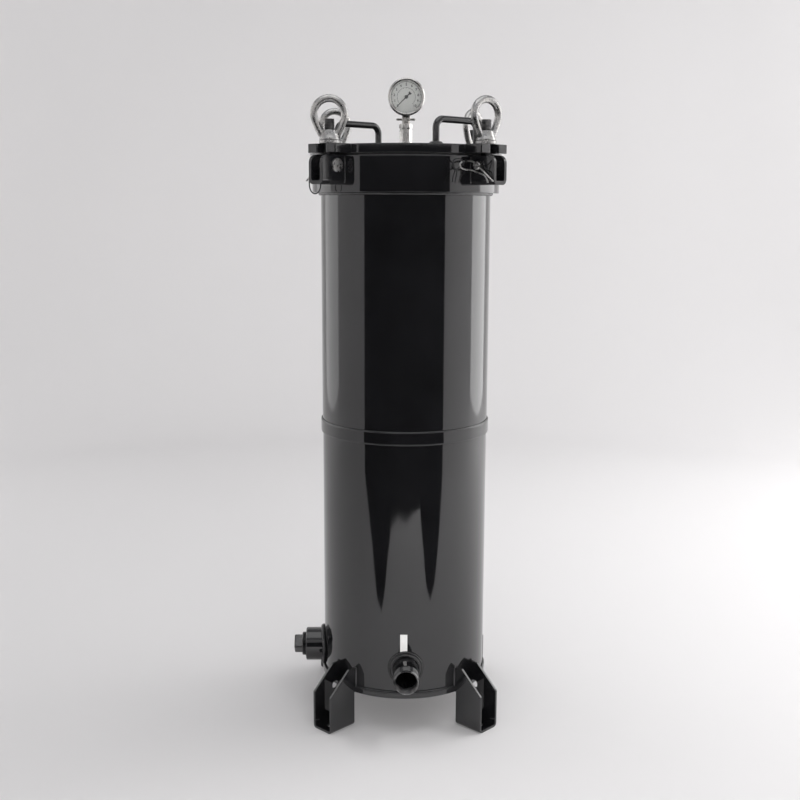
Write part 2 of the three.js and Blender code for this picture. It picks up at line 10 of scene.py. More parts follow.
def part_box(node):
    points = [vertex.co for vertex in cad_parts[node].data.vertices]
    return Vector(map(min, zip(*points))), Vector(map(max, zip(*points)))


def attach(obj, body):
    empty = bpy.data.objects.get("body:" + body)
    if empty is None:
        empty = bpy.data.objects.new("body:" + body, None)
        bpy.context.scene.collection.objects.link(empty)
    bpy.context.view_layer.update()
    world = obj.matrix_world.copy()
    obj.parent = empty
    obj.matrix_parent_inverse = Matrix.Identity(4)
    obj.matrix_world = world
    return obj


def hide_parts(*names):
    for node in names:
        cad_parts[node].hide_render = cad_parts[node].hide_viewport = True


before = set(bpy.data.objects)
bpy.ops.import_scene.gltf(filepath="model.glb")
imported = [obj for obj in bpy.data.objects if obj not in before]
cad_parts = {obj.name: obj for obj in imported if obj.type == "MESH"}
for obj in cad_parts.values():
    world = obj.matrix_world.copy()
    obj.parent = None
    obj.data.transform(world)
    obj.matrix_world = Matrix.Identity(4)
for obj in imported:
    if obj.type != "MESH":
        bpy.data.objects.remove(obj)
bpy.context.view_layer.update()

MM = 0.001
TAU = 2 * math.pi
FINE = 160  # sides of the large turned pieces
CORNERS = {"front_right": -45, "front_left": -135, "rear_left": 135, "rear_right": 45}


# ---- Sizes and places from the frame, in millimetres ----
def span(node):
    low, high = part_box(node)
    return low / MM, high / MM


def middle(node):
    low, high = span(node)
    return (low + high) / 2


def radius_of(node):
    low, high = span(node)
    return (high.x - low.x) / 2


AXIS = Vector((middle("upper_shell").x, middle("upper_shell").y, 0))
SHELL_R = radius_of("upper_shell")
LOWER_R = radius_of("lower_shell")
WALL = 4.8
BOTTOM = span("lower_shell")[0].z
SEAM = span("upper_shell")[0].z
SHELL_TOP = span("upper_shell")[1].z
COLLAR_R = radius_of("top_collar")
BAND_R = radius_of("mid_joint_band")
BASE_R = radius_of("bottom_plate")
BASE_LOW = span("bottom_plate")[0].z
LID_LOW, LID_TOP = (corner.z for corner in span("lid_plate"))
PORT_Z = middle("inlet_nipple").z
DRAIN_Z = middle("drain_plug").z
MOUTH = AXIS.y - span("inlet_nipple")[0].y
PLUG_TIP = AXIS.x - span("drain_plug")[0].x
BOLT_R = (middle("swing_bolt_front_right") - AXIS).xy.length
BOLT_TOP = span("swing_bolt_front_right")[1].z
PIVOT_Z = middle("clevis_pin_front_right").z
WASHER_LOW, WASHER_TOP = (corner.z for corner in span("washer_front_right"))
EYE_TOP = span("eye_nut_front_right")[1].z
GAUGE_Z = middle("gauge_bezel").z
GAUGE_R = radius_of("gauge_bezel")
GAUGE_FRONT = span("gauge_bezel")[0].y
TEE_Z = middle("gauge_cock_handle").z

COLLAR_LOW = 1020.6
BAND_LOW, BAND_HIGH = 563, 585
RING_INSIDE = SHELL_R - 0.5  # the band and collar reach a little into the shell
PIPE_R, BORE_R, PIPE_START, PIPE_PITCH = 24.15, 20.45, 142, 2.21
PIPE_THREADED, PIPE_PLAIN_END = 24, 3
BARE_R, BARE_DEEP = BORE_R + 2.2, 25  # the hollow in a nipple's mouth, for its bare threads
COUPLING_R, COUPLING_BORE, COUPLING_MOUTH = 33, 24.3, 198.6
PLUG_FLATS, PLUG_THREAD_START, PLUG_THREAD_END = 28.6, 171, 206.4
STUD_R, THREAD_PITCH = 9.5, 2.54
SHANK_LOW, STUD_LOW = PIVOT_Z + 6, PIVOT_Z + 15
LEG_W, LEG_REACH, LEG_WALL, LEG_BEND = 50, 226, 4.8, 8
FOOT_HOLE_R, FOOT_HOLE_AT = 7.5, 204
SIDE_HOLE_R, SIDE_HOLE_AT, SIDE_HOLE_Z = 8, 172, 72
BRACKET_W, BRACKET_REACH, BRACKET_WALL, BRACKET_BEND = 36, 231, 7, 10
BRACKET_LOW, BRACKET_HIGH, BRACKET_ROUND = 1034, 1086, 14
PIN_HOLE_R, PIN_R = 8.4, 8
WASHER_BORE, WASHER_R = 10.2, 18.5
EYE_BAR_R, EYE_BOW_R, EYE_LEAN = 6.7, 27.3, 24
CLIP_WIRE_R, CLIP_TILT = 1.6, 38
EAR_R, EAR_W, SLOT_W, EAR_SOFT = 217, 72, 22, 2.5
VENT_R = 6  # the gauge's hole in the lid
HANDLE_FEET = ((52, -100), (131, -32))
HANDLE_R, HANDLE_BEND, HANDLE_RISE = 6.35, 16, 47.5
RISER_TOP, BUSHING_TOP, COCK_TOP = 1140.2, 1150, 1164
DIAL_Y, DIAL_INK = -15.78, 0.07
SWEEP_START, SWEEP = -135, 270


# ---- Camera ----
def look(pitch, roll, yaw):
    """A camera turn, in degrees, that starts level and facing +Y."""
    return (
        Matrix.Rotation(math.radians(-yaw), 4, "Z")
        @ Matrix.Rotation(math.radians(90 - pitch), 4, "X")
        @ Matrix.Rotation(math.radians(roll), 4, "Z")
    )


def make_camera():
    camera = bpy.data.objects.new("camera", bpy.data.cameras.new("camera"))
    bpy.context.scene.collection.objects.link(camera)
    camera.data.lens = 50.5
    camera.data.sensor_width = 36
    pitch, roll, yaw = 9.749, 0.21, 1.2
    away, aside, height = 2.1844, 0.00937, 0.9946
    turn = Matrix.Rotation(math.radians(-yaw), 3, "Z")
    place = AXIS * MM + turn @ Vector((-aside, -away, height))
    camera.matrix_world = Matrix.Translation(place) @ look(pitch, roll, yaw)
    bpy.context.scene.camera = camera


make_camera()


# ---- Materials ----
def shader(name):
    made = bpy.data.materials.new(name)
    made.use_nodes = True
    return made, made.node_tree, made.node_tree.nodes["Principled BSDF"]


def preset(node, values):
    """Sets a node's inputs by name."""
    for name, value in values.items():
        node.inputs[name].default_value = value


def grain(tree, scale, detail=3, stretch=(1, 1, 1)):
    """Noise that is fixed to the piece, between 0 and 1."""
    place = tree.nodes.new("ShaderNodeTexCoord")
    scaled = tree.nodes.new("ShaderNodeMapping")
    preset(scaled, {"Scale": stretch})
    found = tree.nodes.new("ShaderNodeTexNoise")
    preset(found, {"Scale": scale, "Detail": detail})
    tree.links.new(place.outputs["Object"], scaled.inputs["Vector"])
    tree.links.new(scaled.outputs["Vector"], found.inputs["Vector"])
    return found.outputs["Fac"]


def between(tree, value, low, high, start=0.35, stop=0.65):
    """Noise mapped to a range of values."""
    mapped = tree.nodes.new("ShaderNodeMapRange")
    preset(mapped, {"From Min": start, "From Max": stop, "To Min": low, "To Max": high})
    tree.links.new(value, mapped.inputs["Value"])
    return mapped.outputs["Result"]


def mixed(tree, share, first, second):
    """A colour between two, by a share that may be a socket."""
    mix = tree.nodes.new("ShaderNodeMix")
    mix.data_type = "RGBA"
    tree.links.new(share, mix.inputs[0])
    for socket, colour in ((mix.inputs[6], first), (mix.inputs[7], second)):
        if isinstance(colour, bpy.types.NodeSocket):
            tree.links.new(colour, socket)
        else:
            socket.default_value = (*colour, 1)
    return mix.outputs[2]


def bumps(tree, layers):
    """A normal from several layers of (height, strength, distance in metres)."""
    normal = None
    for height, strength, distance in layers:
        bump = tree.nodes.new("ShaderNodeBump")
        preset(bump, {"Strength": strength, "Distance": distance})
        tree.links.new(height, bump.inputs["Height"])
        if normal:
            tree.links.new(normal, bump.inputs["Normal"])
        normal = bump.outputs["Normal"]
    return normal


def finish(name, tones, roughness, metallic=0.0, patches=18, fine=400, depth=0.00004, ior=1.5, edge=None,
           stretch=(1, 1, 1), painted_rim_shade=1.0):
    """A surface with two tones in patches, uneven roughness, a fine bump and lighter worn edges."""
    made, tree, bsdf = shader(name)
    # A Specular Tint below 1 darkens a metal's reflection at grazing angles: painted shade on the rims of
    # round metal parts.
    preset(bsdf, {"Metallic": metallic, "IOR": ior, "Specular Tint": (painted_rim_shade, painted_rim_shade, painted_rim_shade, 1)})
    colour = mixed(tree, between(tree, grain(tree, patches, 5, stretch), 0, 1), *tones)
    if edge:
        worn = tree.nodes.new("ShaderNodeNewGeometry").outputs["Pointiness"]
        chips = tree.nodes.new("ShaderNodeMath")
        chips.operation = "MULTIPLY"
        tree.links.new(between(tree, worn, 0, 1, 0.53, 0.62), chips.inputs[0])
        tree.links.new(between(tree, grain(tree, 90, 4), 0, 1, 0.45, 0.6), chips.inputs[1])
        colour = mixed(tree, chips.outputs["Value"], colour, edge)
    tree.links.new(colour, bsdf.inputs["Base Color"])
    uneven = between(tree, grain(tree, patches * 2.3, 4, stretch), *roughness)
    tree.links.new(uneven, bsdf.inputs["Roughness"])
    peel = grain(tree, fine, 2, stretch)
    dents = grain(tree, patches * 1.7, 1)
    tree.links.new(bumps(tree, [(peel, 0.5, depth), (dents, 0.3, depth * 4)]), bsdf.inputs["Normal"])
    return made


PAINT = finish("black_gloss_paint", [(0.005, 0.005, 0.0055), (0.008, 0.008, 0.009)], (0.035, 0.085),
               patches=9, fine=330, depth=0.00002, ior=1.75, edge=(0.05, 0.05, 0.052))
WELD_PAINT = finish("painted_weld", [(0.004, 0.004, 0.0045), (0.007, 0.007, 0.008)], (0.06, 0.14),
                    patches=60, fine=500, depth=0.00005, ior=1.75)
# Bright zinc and drawn stainless below have their rims darkened at grazing angles: painted shade.
ZINC = finish("bright_zinc", [(0.44, 0.44, 0.44), (0.60, 0.59, 0.57)], (0.22, 0.38), 1.0,
              patches=70, fine=520, depth=0.00006, edge=(0.85, 0.85, 0.84), painted_rim_shade=0.3)
STUD = finish("dull_thread_steel", [(0.10, 0.10, 0.105), (0.22, 0.215, 0.21)], (0.3, 0.5), 1.0,
              patches=90, fine=700, depth=0.00005, edge=(0.4, 0.4, 0.4))
STAINLESS = finish("drawn_stainless", [(0.58, 0.57, 0.55), (0.72, 0.71, 0.69)], (0.2, 0.32), 1.0,
                   patches=60, fine=900, depth=0.00002, stretch=(1, 1, 0.15), edge=(0.85, 0.84, 0.82),
                   painted_rim_shade=0.35)
CAST = finish("turned_fitting_steel", [(0.40, 0.39, 0.37), (0.60, 0.58, 0.55)], (0.22, 0.4), 1.0,
              patches=110, fine=600, depth=0.00004, edge=(0.8, 0.79, 0.77))
RUBBER = finish("matt_rubber", [(0.012, 0.012, 0.012), (0.03, 0.03, 0.03)], (0.7, 0.9), patches=80, fine=900)
CORD = finish("braided_cord", [(0.006, 0.006, 0.006), (0.03, 0.03, 0.032)], (0.6, 0.85), patches=900,
              fine=2200, depth=0.0002)
DIAL = finish("printed_dial", [(0.70, 0.70, 0.67), (0.76, 0.76, 0.73)], (0.4, 0.55), patches=30, fine=800,
              depth=0.00001)
PRINT = finish("dial_ink", [(0.008, 0.008, 0.008), (0.02, 0.02, 0.02)], (0.4, 0.6), patches=200, fine=900)
POINTER = finish("pointer_black", [(0.006, 0.006, 0.006), (0.014, 0.014, 0.014)], (0.35, 0.5), patches=100)
TAPE = finish("label_tape", [(0.80, 0.80, 0.78), (0.86, 0.86, 0.84)], (0.35, 0.5), patches=120, fine=900)
PAPER = finish("pleated_paper", [(0.72, 0.70, 0.63), (0.80, 0.78, 0.72)], (0.8, 0.95), patches=60, fine=1500,
               depth=0.0003)
PLASTIC = finish("moulded_blue_plastic", [(0.02, 0.07, 0.16), (0.03, 0.09, 0.19)], (0.35, 0.5), patches=40,
                 fine=900, depth=0.00005)


def make_lens_material():
    made, tree, bsdf = shader("gauge_glass")
    preset(bsdf, {"Transmission Weight": 1.0, "IOR": 1.46, "Base Color": (0.98, 0.99, 0.99, 1)})
    tree.links.new(between(tree, grain(tree, 160, 3), 0.0, 0.035), bsdf.inputs["Roughness"])
    return made


LENS = make_lens_material()


# ---- Shapes: a shape is (points, faces) ----
def joined(*shapes):
    points, faces = [], []
    for more_points, more_faces in shapes:
        start = len(points)
        points += more_points
        faces += [[start + i for i in face] for face in more_faces]
    return points, faces


def moved(shape, matrix):
    points, faces = shape
    return [matrix @ Vector(p) for p in points], faces


def skin(loops, looped=False):
    """A closed skin over a row of loops with the same number of points, flat at its ends unless looped."""
    count = len(loops[0])
    points = [Vector(p) for loop in loops for p in loop]
    faces = []
    for row in range(len(loops) - (0 if looped else 1)):
        a, b = row * count, (row + 1) % len(loops) * count
        for i in range(count):
            j = (i + 1) % count
            faces.append([a + i, a + j, b + j, b + i])
    if not looped:
        faces.append(list(range(count))[::-1])
        faces.append([(len(loops) - 1) * count + i for i in range(count)])
    return points, faces


def arc(x, y, r, start, stop, steps=6):
    """Points on a round corner, its angles in degrees."""
    turns = [math.radians(start + (stop - start) * i / steps) for i in range(steps + 1)]
    return [(x + r * math.cos(a), y + r * math.sin(a)) for a in turns]


def eased(profile, r, steps=4, closed=True):
    """An outline with its corners rounded to the radius r, or to what fits."""
    count = len(profile)
    made = []
    for i, corner in enumerate(profile):
        if not closed and i in (0, count - 1):
            made.append(tuple(corner))
            continue
        here = Vector(corner)
        back, on = Vector(profile[i - 1]) - here, Vector(profile[(i + 1) % count]) - here
        turn = back.angle(on)
        if turn > 3.0:
            made.append(tuple(corner))
            continue
        cut = min(r / math.tan(turn / 2), back.length * 0.45, on.length * 0.45)
        a, b = here + back.normalized() * cut, here + on.normalized() * cut
        for k in range(steps + 1):
            t = k / steps
            made.append(tuple((1 - t) ** 2 * a + 2 * t * (1 - t) * here + t ** 2 * b))
    return made


def held(outline, near=2.5):
    """Adds a point close to both ends of each long side, so that edge wear stays at the edge."""
    made = []
    for here, on in zip(outline, outline[1:] + outline[:1]):
        here, run = Vector(here), Vector(on) - Vector(here)
        made.append(tuple(here))
        if run.length > 4 * near:
            step = run.normalized() * near
            made += [tuple(here + step), tuple(here + run - step)]
    return made


def turned(profile, sides=FINE, ease=0.0, shape_of=None):
    """A profile of (radius, height) turned round Z. shape_of(radius, height, angle) may bend it."""
    solid = profile[0][0] == 0
    if ease:
        profile = eased(profile, ease, closed=not solid)
        if not solid:
            profile = held(profile)
    if solid:
        profile = [p for p in profile if p[0] > 0]
    loops = []
    for r, z in profile:
        loop = []
        for i in range(sides):
            angle = TAU * i / sides
            rr, zz = shape_of(r, z, angle) if shape_of else (r, z)
            loop.append((rr * math.cos(angle), rr * math.sin(angle), zz))
        loops.append(loop)
    return skin(loops, looped=not solid)


def square(half):
    return [(half, half), (-half, half), (-half, -half), (half, -half)]


def prism(outline, low, high):
    """A flat outline in X and Y, pulled up along Z."""
    return skin([[(x, y, z) for x, y in outline] for z in (low, high)])


def upright_slab(outline, width):
    """An outline in X and Z, as thick as width along Y."""
    return skin([[(x, side * width / 2, z) for x, z in outline] for side in (1, -1)])


def along(direction):
    """Turns a shape that is drawn up Z so that it points along X or Y."""
    return {"x": Matrix.Rotation(math.pi / 2, 4, "Y"), "y": Matrix.Rotation(-math.pi / 2, 4, "X"),
            "-y": Matrix.Rotation(math.pi / 2, 4, "X")}[direction]


def smoothed(points, step=1.0):
    """A smooth curve through points, cut to even steps."""
    path = [Vector(p) for p in points]
    dense = []
    for i in range(len(path) - 1):
        a, b = path[max(i - 1, 0)], path[i]
        c, d = path[i + 1], path[min(i + 2, len(path) - 1)]
        for k in range(8):
            t = k / 8
            dense.append(0.5 * (2 * b + (c - a) * t + (2 * a - 5 * b + 4 * c - d) * t ** 2
                                + (3 * b - a - 3 * c + d) * t ** 3))
    dense.append(path[-1])
    return evenly(dense, step)


def evenly(path, step):
    """The same path, cut to even steps."""
    lengths = [0.0]
    for a, b in zip(path, path[1:]):
        lengths.append(lengths[-1] + (b - a).length)
    count = max(2, round(lengths[-1] / step))
    made, at = [], 0
    for i in range(count + 1):
        want = lengths[-1] * i / count
        while at < len(path) - 2 and lengths[at + 1] < want:
            at += 1
        part = (want - lengths[at]) / max(lengths[at + 1] - lengths[at], 1e-9)
        made.append(path[at].lerp(path[at + 1], part))
    return made


def swept(path, r, sides=14, looped=False, round_ends=False):
    """A round bar along a path. r is a radius, or a function of the step's number."""
    path = [Vector(p) for p in path]
    count = len(path)
    radius = r if callable(r) else (lambda i: r)
    across = None
    loops = []
    for i, here in enumerate(path):
        ahead = path[(i + 1) % count] if looped or i < count - 1 else here
        behind = path[i - 1] if looped or i > 0 else here
        forward = (ahead - behind).normalized()
        if across is None:
            across = forward.orthogonal()
        across = (across - forward * across.dot(forward)).normalized()
        up = forward.cross(across)
        loops.append((here, forward, across, up, radius(i)))

    def loop_at(here, across, up, size):
        angles = [TAU * k / sides for k in range(sides)]
        return [here + (across * math.cos(a) + up * math.sin(a)) * size for a in angles]

    made = [loop_at(here, across, up, size) for here, _, across, up, size in loops]
    if round_ends:
        for (here, forward, across, up, size), sign in ((loops[0], -1), (loops[-1], 1)):
            ends = [loop_at(here + forward * sign * size * math.sin(a), across, up, size * math.cos(a))
                    for a in (0.5, 0.95, 1.3)]
            made = ends[::-1] + made if sign < 0 else made + ends
    if looped:
        # The frame may arrive turned, so the last loop is matched to the first.
        start, last = made[0][0], made[-1]
        shift = min(range(sides), key=lambda k: (last[k] - start).length)
        made[-1] = last[shift:] + last[:shift]
    return skin(made, looped)


def weld(path, r, looped=False, seed=0.0, ripple=2.6):
    """A weld bead along a path: overlapping scales, and a little unevenness from the hand."""
    path = evenly([Vector(p) for p in path] + ([Vector(path[0])] if looped else []), 0.65)
    if looped:
        path.pop()
    length = sum((b - a).length for a, b in zip(path, path[1:]))
    scales = max(1, round(length / ripple))

    def size(i):
        phase = scales * i / len(path) % 1
        hand = noise.noise(path[i] * 0.09 + Vector((seed, 0, 0)))
        return r * (0.90 + 0.16 * math.sqrt(max(0.0, math.sin(math.pi * phase))) + 0.10 * hand)

    return swept(path, size, 12, looped, round_ends=not looped)


def circle(r, z, sides=720):
    return [(r * math.cos(TAU * i / sides), r * math.sin(TAU * i / sides), z) for i in range(sides)]


def thread(r, low, high, depth=1.1, pitch=THREAD_PITCH, sides=40, lead=1.6):
    """A threaded bar up Z with a chamfer at its high end."""
    rows = max(2, round((high - low) / (pitch / 7)))
    loops = []
    for row in range(rows + 1):
        z = low + (high - low) * row / rows
        fade = min(1.0, (high - z) / lead + 0.12)
        loop = []
        for i in range(sides):
            angle = TAU * i / sides
            phase = (z / pitch - angle / TAU) % 1
            groove = depth * min(1.0, 1.25 * abs(2 * phase - 1))
            rr = min(r - groove, r - depth * 1.3 * (1 - fade))
            loop.append((rr * math.cos(angle), rr * math.sin(angle), z))
        loops.append(loop)
    return skin(loops)


def hexagon(flats, low, high, chamfer=1.2):
    """A hexagonal bar up Z with a corner facing the front, its ends chamfered to a cone."""
    sides = 48
    loops = []
    half = flats / 2
    for z, limit in ((low, half * 1.03), (low + chamfer, half * 1.18), (high - chamfer, half * 1.18),
                     (high, half * 1.03)):
        loop = []
        for i in range(sides):
            angle = TAU * i / sides
            off = (angle - math.pi / 2 + math.pi / 6) % (math.pi / 3) - math.pi / 6
            rr = min(half / math.cos(off), limit, half * 1.135)
            loop.append((rr * math.cos(angle), rr * math.sin(angle), z))
        loops.append(loop)
    return skin(loops)


# ---- Pieces ----
HOUSING = Matrix.Translation(AXIS)


def at_corner(corner):
    """The frame of a corner: X outward, Y round the vessel, Z up."""
    return HOUSING @ Matrix.Rotation(math.radians(CORNERS[corner]), 4, "Z")


def to_object(name, shape, place=HOUSING):
    points, faces = moved(shape, place)
    mesh = bpy.data.meshes.new(name)
    mesh.from_pydata([p * MM for p in points], [], faces)
    made = bpy.data.objects.new(name, mesh)
    bpy.context.scene.collection.objects.link(made)
    edit = bmesh.new()
    edit.from_mesh(mesh)
    bmesh.ops.remove_doubles(edit, verts=edit.verts, dist=1e-6)
    bmesh.ops.recalc_face_normals(edit, faces=edit.faces)
    edit.to_mesh(mesh)
    edit.free()
    return made


def modifier(made, kind, **settings):
    added = made.modifiers.new(kind.lower(), kind)
    for key, value in settings.items():
        setattr(added, key, value)
    return added


def apply_modifiers(made):
    bpy.context.view_layer.update()
    graph = bpy.context.evaluated_depsgraph_get()
    mesh = bpy.data.meshes.new_from_object(made.evaluated_get(graph))
    made.modifiers.clear()
    made.data = mesh
    return made


def carve(made, shape, place=HOUSING, operation="DIFFERENCE"):
    """Cuts a shape from a piece, or joins it or keeps only what they share."""
    tool = to_object("tool", shape, place)
    modifier(made, "BOOLEAN", operation=operation, object=tool, solver="EXACT")
    apply_modifiers(made)
    bpy.data.objects.remove(tool)
    return made


def settle(made, body, material, replaces=(), smooth=40, bevel=0.0, flat_faces=True):
    """Gives a piece its finish, smooth shading and body."""
    made.data.materials.clear()
    made.data.materials.append(material)
    if bevel:
        modifier(made, "BEVEL", width=bevel * MM, segments=3, limit_method="ANGLE",
                 angle_limit=math.radians(38), harden_normals=False)
    made.data.shade_smooth()
    for edge in made.data.edges:
        edge.use_edge_sharp = False
    sharp = bmesh.new()
    sharp.from_mesh(made.data)
    for edge in sharp.edges:
        if len(edge.link_faces) == 2 and edge.calc_face_angle(0) > math.radians(smooth):
            edge.smooth = False
    sharp.to_mesh(made.data)
    sharp.free()
    if flat_faces:
        modifier(made, "WEIGHTED_NORMAL", keep_sharp=not bevel)
    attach(made, body)
    if replaces:
        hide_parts(*replaces)
    return made


def piece(name, shape, material=PAINT, body="root", place=HOUSING, replaces=(),
          smooth=40, bevel=0.0):
    return settle(to_object(name, shape, place), body, material, replaces, smooth, bevel)


# ---- Cords: each has its route from the CAD model, in metres in its corner's frame ----
TIED_CORD = [
    (0.1816, -0.0720, 1.0380), (0.1812, -0.0700, 1.0460), (0.1812, -0.0675, 1.0530),
    (0.1814, -0.0655, 1.0590), (0.1812, -0.0675, 1.0650), (0.1814, -0.0700, 1.0700),
    (0.1826, -0.0705, 1.0750), (0.1855, -0.0675, 1.0785), (0.1890, -0.0620, 1.0785),
    (0.1908, -0.0560, 1.0750), (0.1888, -0.0515, 1.0705), (0.1844, -0.0505, 1.0676),
    (0.1806, -0.0530, 1.0640), (0.1798, -0.0575, 1.0615), (0.1818, -0.0620, 1.0602),
    (0.1854, -0.0650, 1.0585), (0.1870, -0.0670, 1.0530), (0.1874, -0.0695, 1.0460),
    (0.1870, -0.0715, 1.0370),
]
LOOPED_CORD = [
    (0.2216, -0.0256, 1.0500), (0.2219, -0.0260, 1.0455), (0.2220, -0.0265, 1.0405),
    (0.2218, -0.0268, 1.0350), (0.2210, -0.0270, 1.0295), (0.2190, -0.0271, 1.0245),
    (0.2155, -0.0271, 1.0206), (0.2118, -0.0271, 1.0186), (0.2080, -0.0271, 1.0180),
    (0.2042, -0.0271, 1.0186), (0.2005, -0.0271, 1.0206), (0.1970, -0.0271, 1.0245),
    (0.1950, -0.0270, 1.0295), (0.1942, -0.0268, 1.0350), (0.1940, -0.0265, 1.0405),
    (0.1942, -0.0263, 1.0460), (0.1948, -0.0259, 1.0515), (0.1956, -0.0257, 1.0570),
]
CORDS = {
    "front_right": (TIED_CORD, 0.115, "knot"),
    "front_left": (LOOPED_CORD, 0.086, "object"),
    "rear_left": (LOOPED_CORD, 0.086, "object"),
    "rear_right": (TIED_CORD, 0.115, "knot"),
}


def make_cord(corner):
    route, length, far_end = CORDS[corner]
    metres = Matrix.Translation(AXIS * MM) @ Matrix.Rotation(math.radians(CORNERS[corner]), 4, "Z")
    line = bpy.data.curves.new("lanyard_" + corner, "CURVE")
    line.dimensions = "3D"
    line.bevel_depth = 0.0011
    line.bevel_resolution = 3
    line.resolution_u = 8
    line.use_fill_caps = True
    spline = line.splines.new("BEZIER")
    spline.bezier_points.add(len(route) - 1)
    for knot, point in zip(spline.bezier_points, route):
        knot.co = metres @ Vector(point)
        knot.handle_left_type = knot.handle_right_type = "AUTO"
    made = bpy.data.objects.new(line.name, line)
    bpy.context.scene.collection.objects.link(made)
    line.materials.append(CORD)
    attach(made, "root")
    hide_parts("clip_lanyard_" + corner)


for corner in CORNERS:
    make_cord(corner)


# ---- Vessel ----
def make_shells():
    upper = [(SHELL_R - WALL, SEAM), (SHELL_R, SEAM), (SHELL_R, SHELL_TOP), (SHELL_R - WALL, SHELL_TOP)]
    piece("shell_upper", turned(upper, ease=0.6), replaces=["upper_shell"])
    rows = [BOTTOM, BOTTOM + 3, 90, 120, 150, 180, 230, 400, SEAM - 4, SEAM - 0.3]
    lower = [(LOWER_R, z) for z in rows] + [(LOWER_R - WALL, z) for z in reversed(rows)]
    made = to_object("shell_lower", turned(lower))
    port = turned([(0, 100), (PIPE_R, 100), (PIPE_R, 200), (0, 200)], 64)
    for direction in ("-y", "y"):
        carve(made, moved(port, Matrix.Translation((0, 0, PORT_Z)) @ along(direction)))
    settle(made, "root", PAINT, ["lower_shell"], flat_faces=False)


def make_band():
    ring = [(RING_INSIDE, BAND_LOW), (BAND_R, BAND_LOW), (BAND_R, BAND_HIGH), (RING_INSIDE, BAND_HIGH)]
    piece("joint_band", turned(ring, ease=1.0), replaces=["mid_joint_band"])
    beads = (("top", SHELL_R + 0.5, BAND_HIGH + 0.4, 3.1), ("low", LOWER_R + 0.8, BAND_LOW - 0.4, 7.7))
    for name, r, z, seed in beads:
        piece("weld_band_" + name, weld(circle(r, z), 2.1, True, seed), WELD_PAINT)


def make_collar():
    low, high = COLLAR_LOW, SHELL_TOP
    ring = [(RING_INSIDE, low), (COLLAR_R, low), (COLLAR_R, high), (RING_INSIDE, high)]
    piece("collar", turned(ring, ease=1.6), replaces=["top_collar"])
    piece("weld_collar", weld(circle(SHELL_R + 1.0, COLLAR_LOW - 0.8), 3.6, True, 1.3), WELD_PAINT)


def make_base():
    plate = [(0, BASE_LOW), (BASE_R, BASE_LOW), (BASE_R, BOTTOM + 1), (0, BOTTOM + 1)]
    piece("base_plate", turned(plate, ease=1.4), replaces=["bottom_plate"])
    piece("weld_base", weld(circle(LOWER_R + 0.4, BOTTOM + 1.8), 3.2, True, 5.9), WELD_PAINT)


def saddle(r, lift, sides=240):
    """The line where a pipe of radius r along +X meets the shell, moved out by lift."""
    made = []
    for i in range(sides):
        angle = TAU * i / sides
        y, z = r * math.cos(angle), r * math.sin(angle)
        made.append((math.sqrt(LOWER_R ** 2 - y ** 2) + lift, y, z))
    return made


def port_weld(r, seed):
    """A two-run fillet round a port that is drawn along +X."""
    return joined(
        weld(saddle(r + 1.6, 3.4), 4.4, True, seed),
        weld(saddle(r + 6.2, 0.6), 3.7, True, seed + 2.2),
    )


def side_frame(angle, height):
    """A frame on the axis at a height, its X towards the given angle."""
    return HOUSING @ Matrix.Rotation(math.radians(angle), 4, "Z") @ Matrix.Translation((0, 0, height))


def nipple_shape():
    """Pipe along +X with a lightly threaded end, hollowed at the mouth for its bare threads."""
    rows, groove, lead = 66, 0.75, 6
    start = MOUTH - PIPE_PLAIN_END - PIPE_THREADED
    profile = [(PIPE_R, PIPE_START)]
    profile += [(PIPE_R, start + PIPE_THREADED * i / rows) for i in range(rows + 1)]
    profile += [(PIPE_R - 1.1, MOUTH - 0.3), (PIPE_R - 1.3, MOUTH), (BARE_R, MOUTH)]
    profile += [(BARE_R, MOUTH - BARE_DEEP), (BORE_R, MOUTH - BARE_DEEP - 1), (BORE_R, PIPE_START)]

    def cut(r, x, angle):
        if r < PIPE_R - 1 or x < start:
            return r, x
        fade = min(1.0, (x - start) / lead)
        phase = (x / PIPE_PITCH - angle / TAU) % 1
        return r - groove * fade * (0.5 + 0.5 * math.cos(TAU * phase)), x

    return moved(turned(profile, 96, shape_of=cut), along("x"))


def bare_mouth_shape():
    """Bare threads inside a nipple's mouth, their crests at the bore."""
    low, high, rows, groove = MOUTH - BARE_DEEP + 0.5, MOUTH - 1.6, 84, 1.1
    profile = [(BARE_R - 0.1, MOUTH - 0.1), (BARE_R - 0.1, low)]
    profile += [(BORE_R, low + (high - low) * i / rows) for i in range(rows + 1)]

    def cut(r, x, angle):
        if r > BORE_R:
            return r, x
        phase = (x / PIPE_PITCH - angle / TAU) % 1
        return r + groove * abs(2 * phase - 1), x

    return moved(turned(profile, 96, shape_of=cut), along("x"))


def make_ports():
    for name, angle, node in (("inlet", -90, "inlet_nipple"), ("outlet", 90, "outlet_nipple")):
        place = side_frame(angle, PORT_Z)
        piece(name + "_pipe", nipple_shape(), place=place, replaces=[node])
        piece(f"weld_{name}", port_weld(PIPE_R, angle), WELD_PAINT, place=place)
        piece(name + "_bare_mouth", bare_mouth_shape(), STUD, place=place, smooth=25)

    place = side_frame(180, DRAIN_Z)
    body = [(COUPLING_BORE, 150), (COUPLING_R, 150), (COUPLING_R, COUPLING_MOUTH - 1.5),
            (COUPLING_R - 1.5, COUPLING_MOUTH), (COUPLING_BORE + 1.8, COUPLING_MOUTH),
            (COUPLING_BORE, COUPLING_MOUTH - 1.8)]
    piece("coupling", moved(turned(body, 96, ease=0.5), along("x")), place=place, replaces=["drain_coupling"])
    piece("weld_drain", weld(saddle(COUPLING_R + 1.8, 3.0), 4.6, True, 4.4), WELD_PAINT, place=place)


